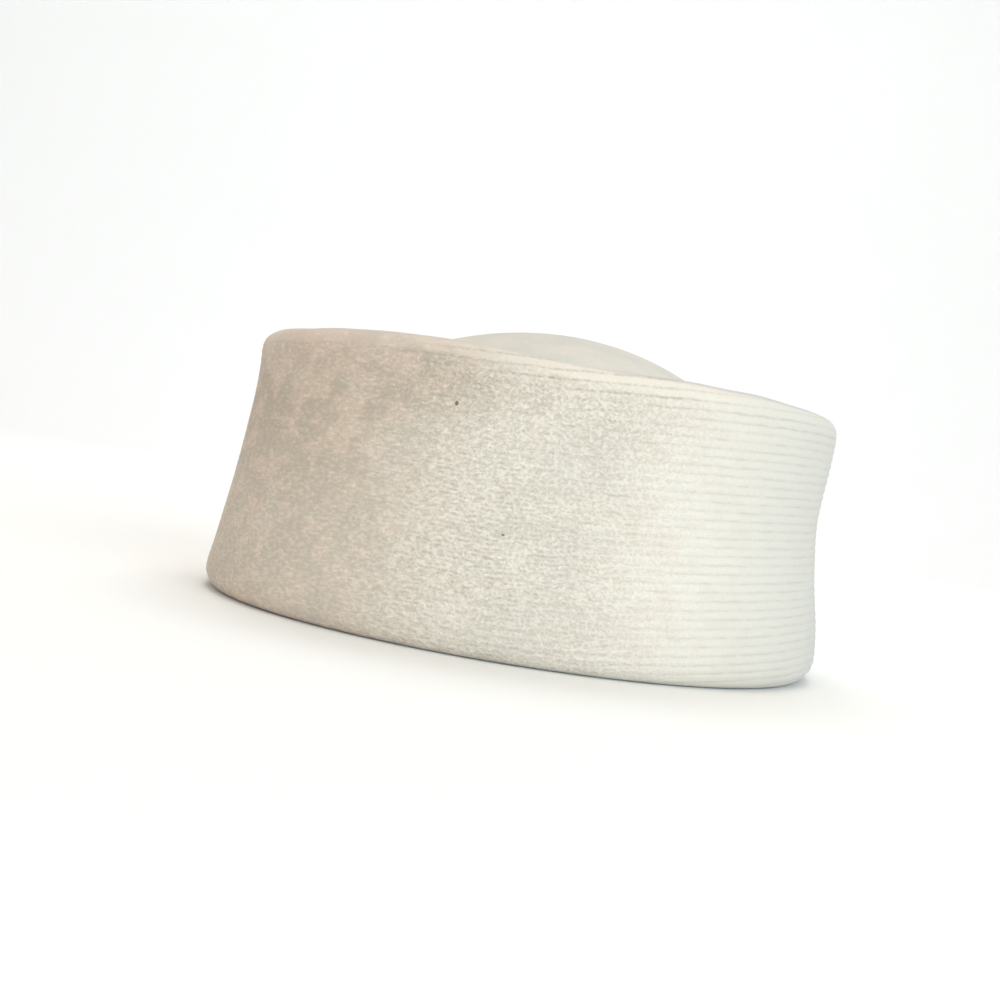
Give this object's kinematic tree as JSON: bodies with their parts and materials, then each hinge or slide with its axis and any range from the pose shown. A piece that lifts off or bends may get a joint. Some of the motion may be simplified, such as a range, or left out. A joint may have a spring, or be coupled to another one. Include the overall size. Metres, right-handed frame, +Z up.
{
  "type": "knitted pillbox hat",
  "caption": "Brimless knitted hat: a domed crown of smooth knit stands inside a tall, gently flared band of thick doubled knit with a rolled top edge and a folded foot, open below for the head.",
  "frame": {"origin": "The middle of the bounding box at the foot of the band, in the plane on which the hat stands.", "axes": "+Z points up through the crown, -Y is the front of the hat and +X is the side to the right of it."},
  "size_m": [0.2126, 0.2122, 0.104],
  "materials": {
    "band_knit": "matt felted wool knit, fine ribs along the rim",
    "crown_knit": "matt smooth wool knit"
  },
  "bodies": {
    "root": {"band": "band_knit", "crown": "crown_knit"}
  },
  "joints": []
}
